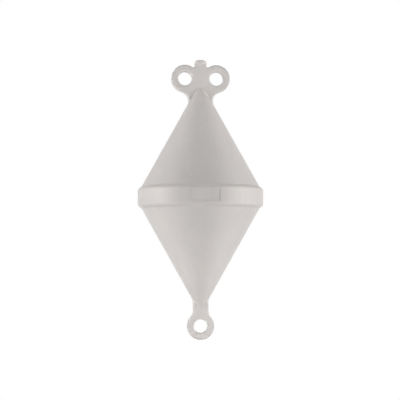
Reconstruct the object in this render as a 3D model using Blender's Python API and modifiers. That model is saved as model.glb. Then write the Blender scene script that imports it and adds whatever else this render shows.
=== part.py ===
"""Biconical mooring buoy, moulded in one piece from a tough plastic.

Two cones meet at a broad band. A flat head with two eyes and a small filling
boss closes the upper cone, and a shank with one eye hangs from the lower one.

Metres, Z up. The origin is the centre of the lower mooring eye. The buoy's
axis is Z, all three eyes are bored along Y, and the band's bare panel faces -Y.
"""

import math

import bmesh
import bpy
from mathutils import Matrix, Vector

# The band around the waist
BAND_RADIUS = 0.160
BAND_SIDE_HEIGHT = 0.0417
BAND_STEP = 0.0096  # how far the band stands out beyond the foot of each cone
SHOULDER_RISE = 0.0066  # height of the sloping shoulder above and below the band's side
BAND_CORNER_RADIUS = 0.0098
SHOULDER_CREASE_RADIUS = 0.0015

# The cones, each measured from the band's shoulder to its virtual apex
CONE_HEIGHT = 0.2697
CONE_TIP_RADIUS = 0.004  # the cut-off tip, buried in the plate

# The three eyes, and the plates that carry them
EYE_HOLE_RADIUS = 0.0175
EYE_RIM_WIDTH = 0.0175
PLATE_THICKNESS = 0.019
PLATE_EDGE_RADIUS = 0.005
PLATE_EDGE_LIMIT = 0.45  # most of the plate's thickness that one rounded edge may take
PLATE_ROOT_LENGTH = 0.012  # how far each plate runs on inside its cone
PLATE_SINK = 0.0005  # how far each plate's fillets run in under the cone's skin

# The head with two eyes
EYE_SPACING = 0.080
HEAD_EYE_LIFT = 0.0065  # eye centres above the upper apex
HEAD_FILLET_RADIUS = 0.0245
VALLEY_RADIUS = 0.004

# The filling boss between the eyes
BOSS_RADIUS = 0.01435
BOSS_TOP_LIFT = 0.053  # its top above the upper apex
BOSS_TOP_CORNER_RADIUS = 0.0035
BOSS_RIM_HEIGHT = 0.0055
BOSS_TAPER_HEIGHT = 0.006
BOSS_ROOT_LENGTH = 0.008
BOSS_WALL_SINK = 0.0005  # how far the boss's neck lies under the plate's faces
TAB_MARGIN = 0.0003  # the tab under the boss is this much wider on each side

# The shank with the mooring eye
MOORING_EYE_DROP = 0.031  # eye centre below the lower apex
SHANK_WIDTH = 0.040
SHANK_BLEND_RADIUS = 0.025
SHANK_FILLET_RADIUS = 0.0235

# The bare recessed panel on the band
PANEL_WIDTH = 0.075
PANEL_HEIGHT = 0.0315
PANEL_DEPTH = 0.0015
PANEL_CORNER_RADIUS = 0.003
PANEL_LIFT = 0.0015  # its centre above the band's mid-plane
PANEL_CUTTER_REACH = 0.020  # how far the cutter stands out of the band

# How finely curves are divided
TURN_STEPS = 96
BOSS_TURN_STEPS = 40
EYE_STEPS = 40
FILLET_STEPS = 8
CORNER_STEPS = 4
EDGE_RESOLUTION = 2

PLASTIC_COLOUR = (0.56, 0.54, 0.52, 1.0)
PLASTIC_ROUGHNESS = 0.42
SHARP_ANGLE = math.radians(32)
WELD_DISTANCE = 1e-6

# Sizes that follow from the ones above
FOOT_RADIUS = BAND_RADIUS - BAND_STEP
FOOT_HEIGHT = BAND_SIDE_HEIGHT / 2 + SHOULDER_RISE
APEX_HEIGHT = FOOT_HEIGHT + CONE_HEIGHT
CONE_ANGLE = math.atan2(FOOT_RADIUS, CONE_HEIGHT)
BAND_Z = APEX_HEIGHT + MOORING_EYE_DROP
UPPER_APEX_Z = BAND_Z + APEX_HEIGHT
LOWER_APEX_Z = BAND_Z - APEX_HEIGHT
HEAD_EYE_Z = UPPER_APEX_Z + HEAD_EYE_LIFT
BOSS_TOP_Z = UPPER_APEX_Z + BOSS_TOP_LIFT
EYE_OUTER_RADIUS = EYE_HOLE_RADIUS + EYE_RIM_WIDTH
EDGE_RADIUS = min(PLATE_EDGE_RADIUS, PLATE_THICKNESS * PLATE_EDGE_LIMIT)
TAB_HALF_WIDTH = BOSS_RADIUS + TAB_MARGIN
TAB_TOP_Z = BOSS_TOP_Z - (BOSS_TOP_CORNER_RADIUS + BOSS_RIM_HEIGHT) / 2


def clear_scene():
    for thing in list(bpy.data.objects):
        bpy.data.objects.remove(thing, do_unlink=True)


def new_collection(name):
    collection = bpy.data.collections.new(name)
    bpy.context.scene.collection.children.link(collection)
    return collection


def arc(centre, radius, start, end, steps):
    """Points on a circle, from one angle to the other, both included."""
    turn = (end - start) / steps
    angles = [start + turn * step for step in range(steps + 1)]
    return [centre + radius * Vector((math.cos(a), math.sin(a))) for a in angles]


def direction(from_point, to_point):
    """Angle of the way from one point to another."""
    way = to_point - from_point
    return math.atan2(way.y, way.x)


def rounded(corners):
    """A line through corners of (x, y, radius), each radius above 0 made an arc."""
    points = []
    for index, (x, y, radius) in enumerate(corners):
        corner = Vector((x, y))
        if radius == 0:
            points.append(corner)
            continue
        before = Vector(corners[index - 1][:2])
        after = Vector(corners[(index + 1) % len(corners)][:2])
        back = (before - corner).normalized()
        ahead = (after - corner).normalized()
        half_angle = back.angle(ahead) / 2
        centre = corner + (back + ahead).normalized() * radius / math.sin(half_angle)
        reach = radius / math.tan(half_angle)
        start = direction(centre, corner + back * reach)
        turn = direction(centre, corner + ahead * reach) - start
        turn = (turn + math.pi) % math.tau - math.pi
        points += arc(centre, radius, start, start + turn, CORNER_STEPS)
    return points


def add_mesh_object(name, mesh, collection):
    thing = bpy.data.objects.new(name, mesh)
    collection.objects.link(thing)
    return thing


def turned(name, profile, steps, collection):
    """A solid of revolution about Z. The profile runs down its outer side."""
    mesh = bpy.data.meshes.new(name)
    edges = [(index, index + 1) for index in range(len(profile) - 1)]
    mesh.from_pydata([(p.x, 0, p.y) for p in profile], edges, [])
    thing = add_mesh_object(name, mesh, collection)
    screw = thing.modifiers.new("Turn", "SCREW")
    screw.axis = "Z"
    screw.steps = steps
    screw.render_steps = steps
    screw.use_merge_vertices = True
    screw.merge_threshold = WELD_DISTANCE
    screw.use_smooth_shade = True
    return thing


def evaluated_mesh(thing, name):
    """A plain mesh of the object as it stands, its loose points welded."""
    graph = bpy.context.evaluated_depsgraph_get()
    mesh = bpy.data.meshes.new_from_object(thing.evaluated_get(graph))
    mesh.name = name
    work = bmesh.new()
    work.from_mesh(mesh)
    bmesh.ops.remove_doubles(work, verts=work.verts, dist=WELD_DISTANCE)
    bmesh.ops.recalc_face_normals(work, faces=work.faces)
    work.to_mesh(mesh)
    work.free()
    return mesh


def flat_piece(name, outlines, thickness, edge_radius, collection):
    """Closed outlines in X and Z, filled and given a thickness along Y.

    The rounded edges turn into the plastic, round the outside and at the holes.
    """
    curve = bpy.data.curves.new(name, "CURVE")
    curve.dimensions = "2D"
    curve.fill_mode = "BOTH"
    curve.extrude = thickness / 2 - edge_radius
    curve.bevel_depth = edge_radius
    curve.bevel_resolution = EDGE_RESOLUTION
    curve.offset = -edge_radius
    for outline in outlines:
        spline = curve.splines.new("POLY")
        spline.points.add(len(outline) - 1)
        for point, place in zip(spline.points, outline):
            point.co = (place.x, place.y, 0, 1)
        spline.use_cyclic_u = True
    drawing = bpy.data.objects.new(name + "_outline", curve)
    collection.objects.link(drawing)
    drawing.matrix_world = Matrix.Rotation(math.pi / 2, 4, "X")
    bpy.context.view_layer.update()
    plate = add_mesh_object(name, evaluated_mesh(drawing, name), collection)
    plate.matrix_world = drawing.matrix_world
    bpy.data.objects.remove(drawing, do_unlink=True)
    return plate


def mirrored(half, middle=()):
    """The half outline at +X, any points between, then its mirror image."""
    return half + list(middle) + [Vector((-p.x, p.y)) for p in reversed(half)]


def hole(centre):
    return arc(centre, EYE_HOLE_RADIUS, math.tau, math.tau / EYE_STEPS, EYE_STEPS - 1)


def buoy_profile():
    """Half section of the two cones and the band, from the top tip down."""
    tip = APEX_HEIGHT - CONE_TIP_RADIUS / math.tan(CONE_ANGLE)
    side = BAND_SIDE_HEIGHT / 2
    upper = [
        (0, tip, 0),
        (CONE_TIP_RADIUS, tip, 0),
        (FOOT_RADIUS, FOOT_HEIGHT, SHOULDER_CREASE_RADIUS),
        (BAND_RADIUS, side, BAND_CORNER_RADIUS),
    ]
    lower = [(x, -z, radius) for x, z, radius in reversed(upper)]
    return [p + Vector((0, BAND_Z)) for p in rounded(upper + lower)]


def head_outline():
    """The right half runs from the tab's top over the lobe and down to the cone."""
    eye = Vector((EYE_SPACING / 2, HEAD_EYE_Z))
    apex = Vector((0, UPPER_APEX_Z))
    down_cone = Vector((math.sin(CONE_ANGLE), -math.cos(CONE_ANGLE)))
    off_cone = Vector((math.cos(CONE_ANGLE), math.sin(CONE_ANGLE)))

    valley_x = TAB_HALF_WIDTH + VALLEY_RADIUS
    reach = EYE_OUTER_RADIUS + VALLEY_RADIUS
    valley_z = eye.y + math.sqrt(reach ** 2 - (valley_x - eye.x) ** 2)
    valley = Vector((valley_x, valley_z))
    into_valley = direction(valley, eye)

    # The fillet touches the outside of the lobe and ends just inside the cone.
    reach = EYE_OUTER_RADIUS + HEAD_FILLET_RADIUS
    start = apex + off_cone * (HEAD_FILLET_RADIUS - PLATE_SINK)
    along = (eye - start).dot(down_cone)
    across = (eye - start).dot(off_cone)
    fillet = start + down_cone * (along + math.sqrt(reach ** 2 - across ** 2))
    out_of_fillet = direction(fillet, eye)
    onto_cone = direction(off_cone, Vector((0, 0)))

    half = [Vector((TAB_HALF_WIDTH, TAB_TOP_Z))]
    half += arc(valley, VALLEY_RADIUS, -math.pi, into_valley, CORNER_STEPS)
    lobe_start = direction(eye, valley)
    lobe_end = direction(eye, fillet)
    half += arc(eye, EYE_OUTER_RADIUS, lobe_start, lobe_end, EYE_STEPS)
    half += arc(fillet, HEAD_FILLET_RADIUS, out_of_fillet, onto_cone + math.tau, FILLET_STEPS)
    half.append(half[-1] - Vector((0, PLATE_ROOT_LENGTH)))
    return mirrored(half)


def shank_outline():
    """The right half runs from inside the cone down round the mooring eye."""
    apex = Vector((0, LOWER_APEX_Z))
    off_cone = Vector((math.cos(CONE_ANGLE), -math.sin(CONE_ANGLE)))
    side = SHANK_WIDTH / 2

    # The blend starts just inside the cone and touches the shank's side.
    blend_x = side + SHANK_BLEND_RADIUS
    off_side = SHANK_BLEND_RADIUS - PLATE_SINK
    blend_z = apex.y + (blend_x * off_cone.x - off_side) / -off_cone.y
    blend = Vector((blend_x, blend_z))
    onto_cone = direction(off_cone, Vector((0, 0)))

    fillet_x = side + SHANK_FILLET_RADIUS
    reach = EYE_OUTER_RADIUS + SHANK_FILLET_RADIUS
    fillet = Vector((fillet_x, math.sqrt(reach ** 2 - fillet_x ** 2)))
    eye = Vector((0, 0))
    into_fillet = direction(fillet, eye)

    blended = arc(blend, SHANK_BLEND_RADIUS, onto_cone, math.pi, FILLET_STEPS)
    half = [blended[0] + Vector((0, PLATE_ROOT_LENGTH))] + blended
    half += arc(fillet, SHANK_FILLET_RADIUS, math.pi, into_fillet + math.tau, FILLET_STEPS)
    eye_start = direction(eye, fillet)
    half += arc(eye, EYE_OUTER_RADIUS, eye_start, -math.pi / 2, EYE_STEPS // 2)[:-1]
    return mirrored(half, [Vector((0, -EYE_OUTER_RADIUS))])


def make_head(collection):
    eyes = [Vector((side * EYE_SPACING / 2, HEAD_EYE_Z)) for side in (-1, 1)]
    outlines = [head_outline()] + [hole(eye) for eye in eyes]
    return flat_piece("head_plate", outlines, PLATE_THICKNESS, EDGE_RADIUS, collection)


def make_shank(collection):
    outlines = [shank_outline(), hole(Vector((0, 0)))]
    return flat_piece("shank_plate", outlines, PLATE_THICKNESS, EDGE_RADIUS, collection)


def make_boss(collection):
    """The round boss, tapering under its rim into the plate's two faces."""
    rim_bottom = BOSS_TOP_Z - BOSS_RIM_HEIGHT
    neck_top = rim_bottom - BOSS_TAPER_HEIGHT
    neck_radius = min(PLATE_THICKNESS / 2, BOSS_RADIUS) - BOSS_WALL_SINK
    profile = rounded([
        (0, BOSS_TOP_Z, 0),
        (BOSS_RADIUS, BOSS_TOP_Z, BOSS_TOP_CORNER_RADIUS),
        (BOSS_RADIUS, rim_bottom, 0),
        (neck_radius, neck_top, 0),
        (neck_radius, neck_top - BOSS_ROOT_LENGTH, 0),
        (0, neck_top - BOSS_ROOT_LENGTH, 0),
    ])
    return turned("filling_boss", profile, BOSS_TURN_STEPS, collection)


def make_panel_cutter(collection):
    """A rounded block that keeps only what lies outside the panel's curved floor."""
    half_width = PANEL_WIDTH / 2
    top = BAND_Z + PANEL_LIFT + PANEL_HEIGHT / 2
    bottom = top - PANEL_HEIGHT
    outline = rounded([
        (-half_width, top, PANEL_CORNER_RADIUS),
        (half_width, top, PANEL_CORNER_RADIUS),
        (half_width, bottom, PANEL_CORNER_RADIUS),
        (-half_width, bottom, PANEL_CORNER_RADIUS),
    ])
    cutter = flat_piece("panel_cutter", [outline], BAND_RADIUS, 0, collection)
    forward = BAND_RADIUS / 2 + PANEL_CUTTER_REACH
    cutter.matrix_world = Matrix.Translation((0, -forward, 0)) @ cutter.matrix_world

    floor_profile = [Vector((x, z)) for x, z in (
        (0, top + PANEL_HEIGHT),
        (BAND_RADIUS - PANEL_DEPTH, top + PANEL_HEIGHT),
        (BAND_RADIUS - PANEL_DEPTH, bottom - PANEL_HEIGHT),
        (0, bottom - PANEL_HEIGHT),
    )]
    floor = turned("panel_floor", floor_profile, TURN_STEPS, collection)
    combine(cutter, floor, "DIFFERENCE")
    return cutter


def combine(thing, other, operation):
    """Union or difference of two solids, kept as a live modifier."""
    cut = thing.modifiers.new(other.name, "BOOLEAN")
    cut.operation = operation
    cut.object = other
    cut.solver = "EXACT"
    other.hide_render = True
    other.display_type = "WIRE"


def pale_plastic():
    material = bpy.data.materials.new("pale_grey_plastic")
    material.use_nodes = True
    shader = material.node_tree.nodes["Principled BSDF"]
    shader.inputs["Base Color"].default_value = PLASTIC_COLOUR
    shader.inputs["Roughness"].default_value = PLASTIC_ROUGHNESS
    shader.inputs["Metallic"].default_value = 0.0
    return material


def make_buoy(parts, tools):
    blank = turned("buoy_blank", buoy_profile(), TURN_STEPS, tools)
    combine(blank, make_head(tools), "UNION")
    combine(blank, make_shank(tools), "UNION")
    combine(blank, make_boss(tools), "UNION")
    combine(blank, make_panel_cutter(tools), "DIFFERENCE")
    bpy.context.view_layer.update()

    buoy = add_mesh_object("buoy_body", evaluated_mesh(blank, "buoy_body"), parts)
    buoy.data.materials.clear()
    buoy.data.materials.append(pale_plastic())
    buoy.data.shade_smooth()
    buoy.data.set_sharp_from_angle(angle=SHARP_ANGLE)
    blank.hide_render = True
    blank.display_type = "WIRE"
    return buoy


def main():
    clear_scene()
    parts = new_collection("mooring_buoy")
    tools = new_collection("cutters")
    buoy = make_buoy(parts, tools)
    print(buoy.name, "has", len(buoy.data.polygons), "faces")


main()
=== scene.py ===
# Biconical mooring buoy, dressed as one pale moulding in soft studio light.
import math

import bmesh
import bpy
import numpy as np
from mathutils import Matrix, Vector


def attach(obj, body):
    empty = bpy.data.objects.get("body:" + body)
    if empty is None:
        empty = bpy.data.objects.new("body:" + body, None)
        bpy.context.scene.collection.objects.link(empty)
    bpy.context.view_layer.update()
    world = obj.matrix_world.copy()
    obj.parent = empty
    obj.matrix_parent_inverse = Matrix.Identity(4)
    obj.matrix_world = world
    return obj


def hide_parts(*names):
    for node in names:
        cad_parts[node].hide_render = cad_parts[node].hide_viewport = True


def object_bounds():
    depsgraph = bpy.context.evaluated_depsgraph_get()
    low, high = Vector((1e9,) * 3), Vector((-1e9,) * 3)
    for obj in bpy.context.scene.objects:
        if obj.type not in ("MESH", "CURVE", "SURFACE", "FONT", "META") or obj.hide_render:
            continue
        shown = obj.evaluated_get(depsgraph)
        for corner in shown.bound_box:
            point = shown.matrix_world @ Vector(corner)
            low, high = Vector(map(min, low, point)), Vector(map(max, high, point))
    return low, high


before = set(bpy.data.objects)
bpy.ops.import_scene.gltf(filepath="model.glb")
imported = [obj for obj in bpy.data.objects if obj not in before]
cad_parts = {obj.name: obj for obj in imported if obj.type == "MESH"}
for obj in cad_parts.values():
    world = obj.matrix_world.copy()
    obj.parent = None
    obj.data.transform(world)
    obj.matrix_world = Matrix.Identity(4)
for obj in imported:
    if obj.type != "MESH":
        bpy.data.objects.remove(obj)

mm = 0.001
cadLow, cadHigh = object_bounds()
print("frame loaded, CAD box", [round(v, 4) for v in (*cadLow, *cadHigh)])

# Sizes of the moulding. The band's radius and the lowest rim come from the frame.
body = {
    "bandRadius": cadHigh.x,
    "bandSide": 41.7 * mm,
    "bandStep": 9.6 * mm,  # the band stands out this much beyond a cone's foot
    "shoulderRise": 6.6 * mm,
    "bandCorner": 9.8 * mm,
    "shoulderCrease": 1.5 * mm,
    "coneHeight": 269.7 * mm,  # shoulder to virtual apex
    "eyeDrop": 31 * mm,  # mooring eye below the lower apex
    "eyeBore": 17.5 * mm,
    "eyeOuter": -cadLow.z,
    "plate": 19 * mm,
    "plateEdge": 5 * mm,
    "plateCrease": 2 * mm,  # fillet where a plate leaves its cone
    "creaseDepth": 1.5 * mm,  # and how far the moulding sinks in along it
    "creaseWidth": 1.8 * mm,
}
footRadius = body["bandRadius"] - body["bandStep"]
footHeight = body["bandSide"] / 2 + body["shoulderRise"]
apexHeight = footHeight + body["coneHeight"]
bandZ = apexHeight + body["eyeDrop"]
slope = footRadius / body["coneHeight"]
coneAngle = math.atan(slope)
coneSin, coneCos = math.sin(coneAngle), math.cos(coneAngle)
upperApex, lowerApex = bandZ + apexHeight, bandZ - apexHeight


def linkObject(name, data):
    thing = bpy.data.objects.new(name, data)
    bpy.context.scene.collection.objects.link(thing)
    return thing


def spread(start, end, steps):  # even points from start to end, the last left out
    return [start + (end - start) * i / steps for i in range(steps)]


def arcPoints(centre, radius, start, end, steps):
    turns = spread(start, end, steps) + [end]
    return [centre + radius * Vector((math.cos(turn), math.sin(turn))) for turn in turns]


def heading(a, b):
    return math.atan2(b[1] - a[1], b[0] - a[0])


# The turned shell: two cones and the band, with the bare panel sunk in its front
shell = {
    "headCut": 72 * mm,  # where the shell hands over to the head, below the upper apex
    "shankCut": 56 * mm,
    "coneRows": 26,
    "creaseSteps": 5,
    "cornerSteps": 26,
    "panelWidth": 75 * mm,
    "panelHeight": 31.5 * mm,
    "panelDepth": 1.5 * mm,
    "panelCorner": 3 * mm,
    "panelLift": 1.5 * mm,  # its middle above the band's
    "panelSoftness": 2 * mm,  # width of the panel's sloping edge
    "columnTurn": math.radians(1.5),
    "coarseStep": 3.5 * mm,
    "fineStep": 0.35 * mm,
    "fineOutside": 1.6 * mm,
    "fineInside": 4.0 * mm,
    "samePoint": 0.01 * mm,  # where the turn closes
}


def cornerArc(before, corner, after, radius, steps):
    back, ahead = (before - corner).normalized(), (after - corner).normalized()
    half = back.angle(ahead) / 2
    centre = corner + (back + ahead).normalized() * radius / math.sin(half)
    reach = radius / math.tan(half)
    start = heading(centre, corner + back * reach)
    turn = heading(centre, corner + ahead * reach) - start
    turn = (turn + math.pi) % math.tau - math.pi
    return arcPoints(centre, radius, start, start + turn, steps)


def fineSteps(low, high, edges):  # places from low to high, close together at the panel's edges
    places, here = [], low
    for side, edge in zip((1, -1), edges):
        outer, inner = edge - side * shell["fineOutside"], edge + side * shell["fineInside"]
        first, last = max(min(outer, inner), low), min(max(outer, inner), high)
        places += spread(here, first, math.ceil((first - here) / shell["coarseStep"]))
        places += spread(first, last, round((last - first) / shell["fineStep"]))
        here = last
    return places + spread(here, high, math.ceil((high - here) / shell["coarseStep"])) + [high]


def sectionPoints():
    foot, rim = Vector((footRadius, footHeight)), Vector((body["bandRadius"], body["bandSide"] / 2))
    topRing = Vector((shell["headCut"] * slope, apexHeight - shell["headCut"]))
    endRing = Vector((shell["shankCut"] * slope, shell["shankCut"] - apexHeight))
    mirror = lambda p: Vector((p.x, -p.y))
    crease = cornerArc(topRing, foot, rim, body["shoulderCrease"], shell["creaseSteps"])
    corner = cornerArc(foot, rim, mirror(rim), body["bandCorner"], shell["cornerSteps"])
    upper = spread(topRing, crease[0], shell["coneRows"]) + crease + corner[:-1]
    lower = [mirror(p) for p in reversed(crease + corner[:-1])]
    lower += spread(endRing, mirror(crease[0]), shell["coneRows"])[::-1]
    middle = shell["panelLift"]
    edges = (middle - shell["panelHeight"] / 2, middle + shell["panelHeight"] / 2)
    heights = reversed(fineSteps(-corner[-1].y, corner[-1].y, edges))
    side = [Vector((body["bandRadius"], z)) for z in heights]
    return [p + Vector((0, bandZ)) for p in upper + side + lower]


def columnRamps():  # how many columns cover each stretch of the turn, from the back round
    radius = body["bandRadius"]
    half = shell["panelWidth"] / radius / 2
    outside, inside = shell["fineOutside"] / radius, shell["fineInside"] / radius
    marks = [-math.pi, -half - outside, -half + inside, half - inside, half + outside, math.pi]
    ramps = []
    for i, (a, b) in enumerate(zip(marks, marks[1:])):  # every second stretch holds an edge of the panel
        step = shell["fineStep"] / radius if i % 2 else shell["columnTurn"]
        ramps.append((round((b - a) / step), b - a))
    return ramps


class Tree:  # short calls for a node tree
    def __init__(self, tree):
        self.tree, self.nodes = tree, tree.nodes

    def put(self, kind, *inputs, out=0, **settings):
        node = self.nodes.new(kind)
        for key, value in settings.items():
            setattr(node, key, value)
        for socket, value in zip(node.inputs, inputs):
            self.feed(socket, value)
        return node.outputs[out]

    def feed(self, socket, value):
        if isinstance(value, bpy.types.NodeSocket):
            self.tree.links.new(value, socket)
        elif value is not None:
            socket.default_value = value

    def math(self, operation, *inputs):
        return self.put("ShaderNodeMath", *inputs, operation=operation)

    def hypot(self, a, b):
        squares = [self.math("MULTIPLY", side, side) for side in (a, b)]
        return self.math("SQRT", self.math("ADD", *squares))

    def split(self, vector):
        node = self.nodes.new("ShaderNodeSeparateXYZ")
        self.feed(node.inputs[0], vector)
        return node.outputs

    def noise(self, place, scale, detail):
        node = self.nodes.new("ShaderNodeTexNoise")
        for name, value in (("Vector", place), ("Scale", scale), ("Detail", detail)):
            self.feed(node.inputs[name], value)
        return node.outputs["Fac"]

    def ramp(self, value, fromLow, fromHigh, toLow, toHigh, kind="LINEAR"):
        limits = (fromLow, fromHigh, toLow, toHigh)
        return self.put("ShaderNodeMapRange", value, *limits, interpolation_type=kind)


def panelDrop(t, given, across, above):  # a rounded oblong, sunk with soft edges
    beyond = []
    for place, size in ((across, "Panel Width"), (above, "Panel Height")):
        half = t.math("SUBTRACT", t.math("MULTIPLY", given[size], 0.5), given["Panel Corner"])
        beyond.append(t.math("SUBTRACT", t.math("ABSOLUTE", place), half))
    outside = [t.math("MAXIMUM", b, 0.0) for b in beyond]
    inner = t.math("MINIMUM", t.math("MAXIMUM", *beyond), 0.0)
    edge = t.math("SUBTRACT", t.math("ADD", t.hypot(*outside), inner), given["Panel Corner"])
    low = t.math("MULTIPLY", given["Edge Softness"], -1.0)
    return t.ramp(edge, low, 0.0, given["Panel Depth"], 0.0, "SMOOTHERSTEP")


def shellTree(rows, columns, ramps, material):
    tree = bpy.data.node_groups.new("turnedShell", "GeometryNodeTree")
    tree.interface.new_socket("Geometry", in_out="INPUT", socket_type="NodeSocketGeometry")
    sizes = ("Panel Width", "Panel Height", "Panel Depth", "Panel Corner", "Panel Middle")
    for name in sizes + ("Band Radius", "Edge Softness"):
        tree.interface.new_socket(name, in_out="INPUT", socket_type="NodeSocketFloat")
    tree.interface.new_socket("Geometry", in_out="OUTPUT", socket_type="NodeSocketGeometry")
    t = Tree(tree)
    given = tree.nodes.new("NodeGroupInput").outputs

    index = t.put("GeometryNodeInputIndex")
    column = t.math("FLOOR", t.math("DIVIDE", t.math("ADD", index, 0.5), rows))
    row = t.math("SUBTRACT", index, t.math("MULTIPLY", column, rows))
    here = t.put("GeometryNodeInputPosition")
    sample = tree.nodes.new("GeometryNodeSampleIndex")
    sample.data_type = "FLOAT_VECTOR"
    t.feed(sample.inputs["Geometry"], given["Geometry"])
    t.feed(sample.inputs["Value"], here)
    t.feed(sample.inputs["Index"], row)
    point = t.split(sample.outputs[0])
    radius, height = point["X"], point["Z"]

    angle, first = -math.pi, 0
    for count, turn in ramps:
        angle = t.math("ADD", angle, t.ramp(column, first, first + count, 0.0, turn))
        first += count

    across = t.math("MULTIPLY", angle, given["Band Radius"])
    above = t.math("SUBTRACT", height, given["Panel Middle"])
    sunk = panelDrop(t, given, across, above)
    radius = t.math("MINIMUM", radius, t.math("SUBTRACT", given["Band Radius"], sunk))

    x = t.math("MULTIPLY", radius, t.math("SINE", angle))
    y = t.math("MULTIPLY", t.math("MULTIPLY", radius, -1.0), t.math("COSINE", angle))
    place = t.put("ShaderNodeCombineXYZ", x, y, height)

    grid = t.put("GeometryNodeMeshGrid", 1.0, 1.0, columns + 1, rows)
    moved = tree.nodes.new("GeometryNodeSetPosition")
    t.feed(moved.inputs["Geometry"], grid)
    t.feed(moved.inputs["Position"], place)
    merged = tree.nodes.new("GeometryNodeMergeByDistance")
    t.feed(merged.inputs["Geometry"], moved.outputs[0])
    t.feed(merged.inputs["Distance"], shell["samePoint"])
    realized = t.put("GeometryNodeRealizeInstances", merged.outputs[0])
    finished = tree.nodes.new("GeometryNodeSetMaterial")
    t.feed(finished.inputs["Geometry"], realized)
    finished.inputs["Material"].default_value = material
    tree.links.new(finished.outputs[0], tree.nodes.new("NodeGroupOutput").inputs[0])
    return tree


def plainMesh(thing):  # the evaluated mesh, and the object is gone
    bpy.context.view_layer.update()
    mesh = bpy.data.meshes.new_from_object(thing.evaluated_get(bpy.context.evaluated_depsgraph_get()))
    bpy.data.objects.remove(thing, do_unlink=True)
    return mesh


def buildShell(material):
    points = sectionPoints()
    section = bpy.data.meshes.new("shellSection")
    section.from_pydata([(p.x, 0, p.y) for p in points], [(i, i + 1) for i in range(len(points) - 1)], [])
    thing = linkObject("shellSection", section)
    ramps = columnRamps()
    columns = sum(count for count, turn in ramps)
    tree = shellTree(len(points), columns, ramps, material)
    modifier = thing.modifiers.new("turnedShell", "NODES")
    modifier.node_group = tree
    values = {
        "Panel Width": shell["panelWidth"],
        "Panel Height": shell["panelHeight"],
        "Panel Depth": shell["panelDepth"],
        "Panel Corner": shell["panelCorner"],
        "Panel Middle": bandZ + shell["panelLift"],
        "Band Radius": body["bandRadius"],
        "Edge Softness": shell["panelSoftness"],
    }
    for item in tree.interface.items_tree:
        if item.in_out == "INPUT" and item.name in values:
            modifier[item.identifier] = values[item.name]
    mesh = plainMesh(thing)
    print("shell turned:", len(points), "rows,", columns, "columns,", len(mesh.polygons), "faces")
    return mesh


# The head: a flat plate with two eyes, and the filling boss
head = {
    "eyeSide": 40 * mm,
    "eyeLift": 6.5 * mm,  # above the upper apex
    "fillet": 24.5 * mm,
    "filletSink": 0.5 * mm,
    "valley": 4 * mm,
    "bossRadius": 14.35 * mm,
    "bossCorner": 3.5 * mm,
    "bossRimCorner": 0.6 * mm,
    "bossRim": 9.5 * mm,
    "bossTaper": 2.5 * mm,
    "bossNeck": 9 * mm,
    "bossTop": cadHigh.z,
    "tabMargin": 0.3 * mm,
    "bossCrease": 1.5 * mm,
}
shank = {
    "width": 40 * mm,
    "blend": 25 * mm,  # radius where the cone's side turns into the shank's
    "blendSink": 0.5 * mm,
    "fillet": 23.5 * mm,
}

# How both ends are meshed: an even mesh of the CAD form, drawn on to the true surface
surface = {
    "voxel": 1.25 * mm,
    "relaxRounds": 8,
    "relaxShare": 0.5,
    "drawsPerRound": 2,
    "lastDraws": 4,
    "gradientStep": 0.1 * mm,
    "seamGap": 1.3 * mm,  # between the shell's rim and an end's rim
    "spare": 7 * mm,  # an end is meshed this far past its rim, and cut back
    "rimMerge": 0.375 * mm,  # points this close on a cut rim become one
    "sameHeight": 0.01 * mm,
    "samePoint": 0.001 * mm,
    "farAway": 9.0,  # more than any distance or turn here
}


def headOutline():  # arcs and lines of the right half, clockwise from the tab's top
    eye = Vector((head["eyeSide"], upperApex + head["eyeLift"]))
    tabSide = head["bossRadius"] + head["tabMargin"]
    tabTop = head["bossTop"] - (head["bossCorner"] + head["bossRim"]) / 2
    reach = body["eyeOuter"] + head["valley"]
    valleyX = tabSide + head["valley"]
    valley = Vector((valleyX, eye.y + math.sqrt(reach ** 2 - (valleyX - eye.x) ** 2)))
    down, off = Vector((coneSin, -coneCos)), Vector((coneCos, coneSin))
    start = Vector((0, upperApex)) + off * (head["fillet"] - head["filletSink"])
    reach = body["eyeOuter"] + head["fillet"]
    along, across = (eye - start).dot(down), (eye - start).dot(off)
    fillet = start + down * (along + math.sqrt(reach ** 2 - across ** 2))
    root = fillet - off * head["fillet"]
    return [
        ("line", (0, tabTop), (tabSide, tabTop)),
        ("line", (tabSide, tabTop), (tabSide, valley.y)),
        ("arc", valley, head["valley"], math.pi, math.tau + heading(valley, eye), -1),
        ("arc", eye, body["eyeOuter"], heading(eye, fillet), heading(eye, valley), 1),
        ("arc", fillet, head["fillet"], heading(fillet, eye), heading(off, (0, 0)) + math.tau, -1),
        ("line", root, root - Vector((0, 1))),
    ], [eye]


def shankOutline():  # clockwise from inside the cone to the bottom of the eye
    side, off = shank["width"] / 2, Vector((coneCos, -coneSin))
    blendX = side + shank["blend"]
    blendZ = lowerApex + (blendX * off.x - shank["blend"] + shank["blendSink"]) / -off.y
    blend = Vector((blendX, blendZ))
    root = blend - off * shank["blend"]
    filletX = side + shank["fillet"]
    fillet = Vector((filletX, math.sqrt((body["eyeOuter"] + shank["fillet"]) ** 2 - filletX ** 2)))
    eye = Vector((0, 0))
    return [
        ("line", root + Vector((0, 1)), root),
        ("arc", blend, shank["blend"], heading(off, (0, 0)), math.pi, -1),
        ("line", (side, blendZ), (side, fillet.y)),
        ("arc", fillet, shank["fillet"], math.pi, heading(fillet, eye) + math.tau, -1),
        ("arc", eye, body["eyeOuter"], -math.pi / 2, heading(eye, fillet), 1),
    ], [eye]


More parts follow.
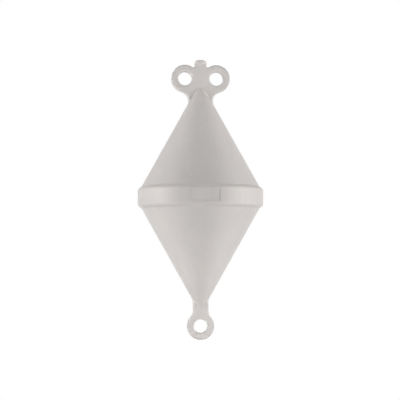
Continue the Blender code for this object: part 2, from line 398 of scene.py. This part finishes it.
def outlineDistance(pieces, x, z):  # signed, below 0 in the plastic
    best, signed = np.full(x.shape, surface["farAway"]), np.full(x.shape, surface["farAway"])
    for kind, *facts in pieces:
        if kind == "line":
            (ax, az), (bx, bz) = facts
            length = math.hypot(bx - ax, bz - az)
            ux, uz = (bx - ax) / length, (bz - az) / length
            t = np.clip((x - ax) * ux + (z - az) * uz, 0, length)
            away = np.hypot(x - ax - t * ux, z - az - t * uz)
            sign = np.where((z - az) * ux - (x - ax) * uz > 0, 1.0, -1.0)
        else:
            centre, radius, start, end, sense = facts
            dx, dz = x - centre[0], z - centre[1]
            turn = np.arctan2(dz, dx)
            mid, half = (start + end) / 2, abs(end - start) / 2
            off = np.abs((turn - mid + math.pi) % math.tau - math.pi)
            fromCircle = np.hypot(dx, dz) - radius
            ends = [centre + radius * Vector((math.cos(a), math.sin(a))) for a in (start, end)]
            fromEnds = [np.hypot(x - p[0], z - p[1]) for p in ends]
            away = np.where(off <= half, np.abs(fromCircle), np.minimum(*fromEnds))
            sign = np.where(fromCircle > 0, 1.0, -1.0) * sense
        nearer = away < best
        best, signed = np.where(nearer, away, best), np.where(nearer, away * sign, signed)
    return signed


def roundedCorner(a, b, radius):  # both sides kept, their outer corner rounded
    a, b = a + radius, b + radius
    return np.minimum(np.maximum(a, b), 0) + np.hypot(np.maximum(a, 0), np.maximum(b, 0)) - radius


def blended(a, b, radius):  # two forms joined, with a fillet between them
    u, v = np.maximum(radius - a, 0), np.maximum(radius - b, 0)
    return np.maximum(radius, np.minimum(a, b)) - np.hypot(u, v)


def plateField(outline, eyes):
    def distance(p):
        x, y, z = np.abs(p[:, 0]), np.abs(p[:, 1]), p[:, 2]
        flat = outlineDistance(outline, x, z)
        for eye in eyes:
            flat = np.maximum(flat, body["eyeBore"] - np.hypot(x - eye[0], z - eye[1]))
        return roundedCorner(flat, y - body["plate"] / 2, body["plateEdge"])
    return distance


def coneField(apex, side):  # side 1 for the upper cone, -1 for the lower
    def distance(p):
        return (np.hypot(p[:, 0], p[:, 1]) - (apex - p[:, 2]) * side * slope) * coneCos
    return distance


def bossField(p):
    r, z = np.hypot(p[:, 0], p[:, 1]), p[:, 2]
    rimBottom = head["bossTop"] - head["bossRim"]
    rim = roundedCorner(r - head["bossRadius"], z - head["bossTop"], head["bossCorner"])
    pitch = math.atan2(head["bossRadius"] - head["bossNeck"], head["bossTaper"])
    taper = (r - head["bossRadius"]) * math.cos(pitch) + (rimBottom - z) * math.sin(pitch)
    rim = roundedCorner(rim, taper, head["bossRimCorner"])
    return np.maximum(rim, rimBottom - head["bossTaper"] - z)


def gradient(field, p):
    step = surface["gradientStep"]
    shifts = np.eye(3) * step
    slopes = np.stack([field(p + s) - field(p - s) for s in shifts], axis=1) / (2 * step)
    return slopes / np.maximum(np.linalg.norm(slopes, axis=1, keepdims=True), 1e-9)


def joined(plate, cone, extra=None):  # the fillet fades where the two surfaces run together
    def distance(p):
        apart = np.clip(1 - np.sum(gradient(plate, p) * gradient(cone, p), axis=1), 0, 1)
        a, b = plate(p), cone(p)
        groove = np.exp(-(a ** 2 + b ** 2) / body["creaseWidth"] ** 2) * body["creaseDepth"] * apart
        whole = blended(a, b, body["plateCrease"] * apart) + groove
        return whole if extra is None else blended(whole, extra(p), head["bossCrease"])
    return distance


def cutAway(work, height, side):  # all below the height goes, or above it where side is -1
    geometry = work.verts[:] + work.edges[:] + work.faces[:]
    plane = {"plane_co": (0, 0, height), "plane_no": (0, 0, -side)}
    return bmesh.ops.bisect_plane(work, geom=geometry, clear_outer=True, **plane)["geom_cut"]


def remeshedEnd(name, keep):  # an even mesh of the CAD form beyond a height
    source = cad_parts["buoy_body"]
    work = bmesh.new()
    work.from_mesh(source.data)
    bmesh.ops.remove_doubles(work, verts=work.verts, dist=surface["samePoint"])
    cut = cutAway(work, *keep)
    rim = [e for e in cut if isinstance(e, bmesh.types.BMEdge)]
    bmesh.ops.contextual_create(work, geom=rim)
    mesh = bpy.data.meshes.new(name)
    work.to_mesh(mesh)
    work.free()
    thing = linkObject(name, mesh)
    remesh = thing.modifiers.new("even", "REMESH")
    remesh.mode = "VOXEL"
    remesh.voxel_size = surface["voxel"]
    return plainMesh(thing)


def drawOn(field, p, free, rounds):  # moves the free points on to the surface
    for _ in range(rounds):
        q = p[free]
        p[free] = q - gradient(field, q) * field(q)[:, None]


def settle(mesh, field, keep):  # every point on the true surface, evenly spread
    count = len(mesh.vertices)
    p = np.empty(count * 3)
    mesh.vertices.foreach_get("co", p)
    p = p.reshape(-1, 3)
    ends = np.empty(len(mesh.edges) * 2, dtype=np.int64)
    mesh.edges.foreach_get("vertices", ends)
    a, b = ends.reshape(-1, 2).T
    degree = np.maximum(np.bincount(a, minlength=count) + np.bincount(b, minlength=count), 1)[:, None]
    height, side = keep
    free = (p[:, 2] - height) * side > 0
    for _ in range(surface["relaxRounds"]):
        drawOn(field, p, free, surface["drawsPerRound"])
        total = np.zeros_like(p)
        np.add.at(total, a, p[b])
        np.add.at(total, b, p[a])
        p[free] += (total / degree - p)[free] * surface["relaxShare"]
    drawOn(field, p, free, surface["lastDraws"])
    mesh.vertices.foreach_set("co", p.ravel())
    mesh.update()
    print(mesh.name, "settled, furthest off by", round(float(np.abs(field(p[free])).max()) / mm, 4), "mm")


def zipRings(work, ringA, ringB):  # a band of triangles between two rings sorted by turn
    turn = lambda v: math.atan2(v.co.y, v.co.x)
    turnsA, turnsB = [turn(v) for v in ringA], [turn(v) for v in ringB]
    i = j = 0
    while i < len(ringA) or j < len(ringB):
        nextA = turnsA[i] if i < len(ringA) else surface["farAway"]
        nextB = turnsB[j] if j < len(ringB) else surface["farAway"]
        lastA, lastB = ringA[i - 1], ringB[j - 1]
        if nextA <= nextB:
            work.faces.new((lastA, ringA[i], lastB))
            i += 1
        else:
            work.faces.new((lastA, ringB[j], lastB))
            j += 1


def buildEnd(name, field, cutHeight, side):
    spare = surface["spare"]
    mesh = remeshedEnd(name, (cutHeight - side * spare, side))
    settle(mesh, field, (cutHeight - side * spare / 2, side))
    work = bmesh.new()
    work.from_mesh(mesh)
    cutAway(work, cutHeight, side)
    rim = [v for v in work.verts if v.is_boundary]
    bmesh.ops.remove_doubles(work, verts=rim, dist=surface["rimMerge"])
    work.to_mesh(mesh)
    work.free()
    return mesh


def boundaryRing(work, height):
    ring = [v for v in work.verts if v.is_boundary and abs(v.co.z - height) < surface["sameHeight"]]
    return sorted(ring, key=lambda v: math.atan2(v.co.y, v.co.x))


def buildBody(material):
    headCut, shankCut = upperApex - shell["headCut"], lowerApex + shell["shankCut"]
    ends = (
        ("headMesh", joined(plateField(*headOutline()), coneField(upperApex, 1), bossField), headCut, 1),
        ("shankMesh", joined(plateField(*shankOutline()), coneField(lowerApex, -1)), shankCut, -1),
    )
    work = bmesh.new()
    work.from_mesh(buildShell(material))
    for name, field, height, side in ends:
        seam = height + side * surface["seamGap"]
        work.from_mesh(buildEnd(name, field, seam, side))
        zipRings(work, boundaryRing(work, height), boundaryRing(work, seam))
    bmesh.ops.recalc_face_normals(work, faces=work.faces)
    openEdges = sum(1 for e in work.edges if len(e.link_faces) != 2)
    mesh = bpy.data.meshes.new("buoySkin")
    work.to_mesh(mesh)
    triangles = sum(len(f.verts) - 2 for f in work.faces)
    work.free()
    mesh.materials.clear()
    mesh.materials.append(material)
    mesh.polygons.foreach_set("material_index", [0] * len(mesh.polygons))
    mesh.shade_smooth()
    skin = linkObject("buoySkin", mesh)
    print("buoy skin:", triangles, "triangles,", openEdges, "open edges")
    return skin


plasticLook = {
    "solid": (0.569, 0.539, 0.521),  # colour of the thick plates
    "paintedBandShade": 0.9,  # painted shade: the colour is made a little deeper out towards the band, in place of the dimmer light through the thick hollow middle
    "paintedShadeStart": 30 * mm,
    "paintedShadeEnd": 150 * mm,
    "roughness": 0.5,
    "roughnessSpread": 0.08,
    "mottleSize": 70 * mm,
    "mottleDetail": 3.0,
    "mottleSpread": 0.035,
    "streakSize": 9 * mm,
    "streakLength": 120 * mm,
    "streakDetail": 2.0,
    "streakSpread": 0.02,
    "speckSize": 2.2 * mm,
    "speckDetail": 1.0,
    "speckSpread": 0.045,
    "waveSize": 45 * mm,
    "waveDepth": 0.25 * mm,
    "waveDetail": 1.0,
    "peelSize": 3.2 * mm,
    "peelDepth": 0.05 * mm,
    "peelDetail": 2.0,
    "grainSize": 0.8 * mm,
    "grainDepth": 0.02 * mm,
    "grainDetail": 1.0,
    "partingWidth": 0.7 * mm,
    "partingHeight": 0.15 * mm,
    "colourRange": (0.2, 0.8),  # of the noises, spread over the whole change of shade
    "roughRange": (0.25, 0.75),
}
reliefScales = ("Wave", "Peel", "Grain")


def reliefGroup():  # heights of the moulded skin, in metres
    group = bpy.data.node_groups.new("mouldedRelief", "ShaderNodeTree")
    group.interface.new_socket("Place", in_out="INPUT", socket_type="NodeSocketVector")
    for name in reliefScales:
        for what in ("Size", "Depth"):
            group.interface.new_socket(name + " " + what, in_out="INPUT", socket_type="NodeSocketFloat")
    group.interface.new_socket("Height", in_out="OUTPUT", socket_type="NodeSocketFloat")
    t = Tree(group)
    given = group.nodes.new("NodeGroupInput").outputs
    height = 0.0
    for name in reliefScales:
        detail = plasticLook[name.lower() + "Detail"]
        noise = t.noise(given["Place"], t.math("DIVIDE", 1.0, given[name + " Size"]), detail)
        height = t.math("ADD", height, t.math("MULTIPLY", noise, given[name + " Depth"]))
    group.links.new(height, group.nodes.new("NodeGroupOutput").inputs[0])
    return group


def plastic():
    look = plasticLook
    material = bpy.data.materials.new("palePlastic")
    material.use_nodes = True
    t = Tree(material.node_tree)
    shader = t.nodes["Principled BSDF"]
    place = t.nodes.new("ShaderNodeTexCoord").outputs["Object"]
    point = t.split(place)

    around = t.hypot(point["X"], point["Y"])
    # painted shade: colour darkened with distance from the axis, deepest at the band, standing in for
    # less light through the plastic
    paintedDarkening = t.ramp(around, look["paintedShadeStart"], look["paintedShadeEnd"], 1.0, look["paintedBandShade"], "SMOOTHSTEP")
    mottle = t.noise(place, 1 / look["mottleSize"], look["mottleDetail"])
    across, along = 1 / look["streakSize"], 1 / look["streakLength"]
    streaked = t.put("ShaderNodeMapping", place, None, None, (across, across, along))
    streaks = t.noise(streaked, 1.0, look["streakDetail"])
    specks = t.noise(place, 1 / look["speckSize"], look["speckDetail"])
    shade = paintedDarkening
    for pattern, spread in ((mottle, "mottleSpread"), (streaks, "streakSpread"), (specks, "speckSpread")):
        change = t.ramp(pattern, *look["colourRange"], 1 - look[spread], 1 + look[spread])
        shade = t.math("MULTIPLY", shade, change)
    colour = t.put("ShaderNodeCombineColor", *(t.math("MULTIPLY", shade, c) for c in look["solid"]))
    t.feed(shader.inputs["Base Color"], colour)

    half = look["roughnessSpread"] / 2
    rough = t.ramp(mottle, *look["roughRange"], look["roughness"] - half, look["roughness"] + half)
    t.feed(shader.inputs["Roughness"], rough)

    relief = t.nodes.new("ShaderNodeGroup")
    relief.node_tree = reliefGroup()
    t.feed(relief.inputs["Place"], place)
    for name in reliefScales:
        for what in ("Size", "Depth"):
            relief.inputs[name + " " + what].default_value = look[name.lower() + what]
    half, crest = look["partingWidth"] / 2, look["partingHeight"]
    parting = t.ramp(t.math("ABSOLUTE", point["Y"]), 0.0, half, crest, 0.0, "SMOOTHSTEP")
    bump = t.nodes.new("ShaderNodeBump")
    t.feed(bump.inputs["Distance"], 1.0)
    t.feed(bump.inputs["Height"], t.math("ADD", relief.outputs["Height"], parting))
    t.feed(shader.inputs["Normal"], bump.outputs[0])
    print("plastic mixed")
    return material


skin = buildBody(plastic())
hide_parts("buoy_body")
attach(skin, "root")

# Camera: level, a little to the buoy's left, with the frame shifted up from the horizon
view = {
    "pixel": 2.558 * mm,  # at the buoy's axis
    "frameSide": 400,
    "axisColumn": 200.5,
    "bandRow": 197.75,
    "horizonRow": 235,
    "distance": 2.05,
    "orbit": math.radians(4.0),
    "sensor": 36,
}
sideways = Vector((math.cos(view["orbit"]), -math.sin(view["orbit"]), 0))
towards = Vector((math.sin(view["orbit"]), math.cos(view["orbit"]), 0))


def placeCamera():
    middle = view["frameSide"] / 2
    data = bpy.data.cameras.new("studioCamera")
    data.sensor_width = view["sensor"]
    data.lens = view["sensor"] * view["distance"] / (view["frameSide"] * view["pixel"])
    data.shift_y = (view["horizonRow"] - middle) / view["frameSide"]
    camera = linkObject("studioCamera", data)
    eyeHeight = bandZ + (view["bandRow"] - view["horizonRow"]) * view["pixel"]
    aside = sideways * (middle - view["axisColumn"]) * view["pixel"]
    camera.location = aside - towards * view["distance"] + Vector((0, 0, eyeHeight))
    camera.rotation_euler = (math.pi / 2, 0, -view["orbit"])
    bpy.context.scene.camera = camera
    print("camera placed")


placeCamera()

# Studio: tall soft boxes at both sides, weaker ones low down, in front, above and behind.
# What the camera sees round about is white, apart from the floor's shadow.
studio = {
    "world": 0.02,
    "sideBox": {"place": (1.1, -0.335, 0.5), "size": (0.3, 1.45), "watts": 11.0},
    "lowBox": {"place": (0.87, -0.5, -0.3), "size": (0.6, 0.4), "watts": 2.1},
    "frontBox": {"place": (0, -1.9, 0.3), "size": (1.3, 1.0), "watts": 12.8},
    "topBox": {"place": (0, -0.1, 2.2), "size": (1.2, 1.2), "watts": 6.6},
    "backBox": {"place": (0, 1.9, 0.1), "size": (1.3, 0.8), "watts": 4.5},
    "aim": (0, 0, 0.3),
    "floorDrop": 0.45,  # below the mooring eye
    "floorSize": 30,
    "floorWhite": 0.8,
    "nearGlow": 0.45,  # the floor's own brightness to the camera, where the shadow falls
    "nearRadius": 0.7,
    "farRadius": 1.35,  # plain white from here on
    "white": (1, 1, 1, 1),
}


def softBox(name, facts, mirror=1):
    data = bpy.data.lights.new(name, "AREA")
    data.shape = "RECTANGLE"
    data.size, data.size_y = facts["size"]
    data.energy = facts["watts"]
    lamp = linkObject(name, data)
    x, y, z = facts["place"]
    lamp.location = sideways * x * mirror + towards * y + Vector((0, 0, z))
    lamp.rotation_euler = (Vector(studio["aim"]) - lamp.location).to_track_quat("-Z", "Y").to_euler()
    lamp.visible_camera = False


def sightRays(t):  # rays from the camera, or by a mirror or glass
    path = t.nodes.new("ShaderNodeLightPath").outputs
    reflected = t.math("MAXIMUM", path["Is Glossy Ray"], path["Is Transmission Ray"])
    return t.math("MAXIMUM", path["Is Camera Ray"], reflected)


def buildWorld():
    world = bpy.data.worlds.new("studioWorld")
    world.use_nodes = True
    bpy.context.scene.world = world
    t = Tree(world.node_tree)
    t.nodes.clear()
    dim = t.put("ShaderNodeBackground", studio["white"], studio["world"])
    bright = t.put("ShaderNodeBackground", studio["white"], 1.0)
    mix = t.put("ShaderNodeMixShader", sightRays(t), dim, bright)
    world.node_tree.links.new(mix, t.nodes.new("ShaderNodeOutputWorld").inputs["Surface"])


def buildFloor():
    mesh = bpy.data.meshes.new("studioFloor")
    half, height = studio["floorSize"] / 2, cadLow.z - studio["floorDrop"]
    corners = [(x * half, y * half, height) for x, y in ((-1, -1), (1, -1), (1, 1), (-1, 1))]
    mesh.from_pydata(corners, [], [(0, 1, 2, 3)])
    floor = linkObject("studioFloor", mesh)
    material = bpy.data.materials.new("paleFloor")
    material.use_nodes = True
    mesh.materials.append(material)
    t = Tree(material.node_tree)
    t.nodes.clear()
    point = t.split(t.nodes.new("ShaderNodeTexCoord").outputs["Object"])
    away = t.hypot(point["X"], point["Y"])
    far = t.ramp(away, studio["nearRadius"], studio["farRadius"], 0.0, 1.0, "SMOOTHSTEP")
    matte = t.put("ShaderNodeBsdfDiffuse", (studio["floorWhite"],) * 3 + (1,))
    glow = t.put("ShaderNodeEmission", studio["white"], studio["nearGlow"])
    near = t.put("ShaderNodeAddShader", matte, glow)
    above = t.put("ShaderNodeMixShader", far, near, t.put("ShaderNodeEmission", studio["white"], 1.0))
    fromBelow = t.nodes.new("ShaderNodeNewGeometry").outputs["Backfacing"]
    clear = t.put("ShaderNodeBsdfTransparent")
    seen = t.put("ShaderNodeMixShader", fromBelow, above, clear)
    mix = t.put("ShaderNodeMixShader", sightRays(t), matte, seen)
    material.node_tree.links.new(mix, t.nodes.new("ShaderNodeOutputMaterial").inputs["Surface"])


bpy.context.scene.view_settings.view_transform = "Standard"
buildWorld()
buildFloor()
for name in ("sideBox", "lowBox"):
    softBox(name + "Left", studio[name], -1)
    softBox(name + "Right", studio[name])
for name in ("frontBox", "topBox", "backBox"):
    softBox(name, studio[name])
print("studio lit")
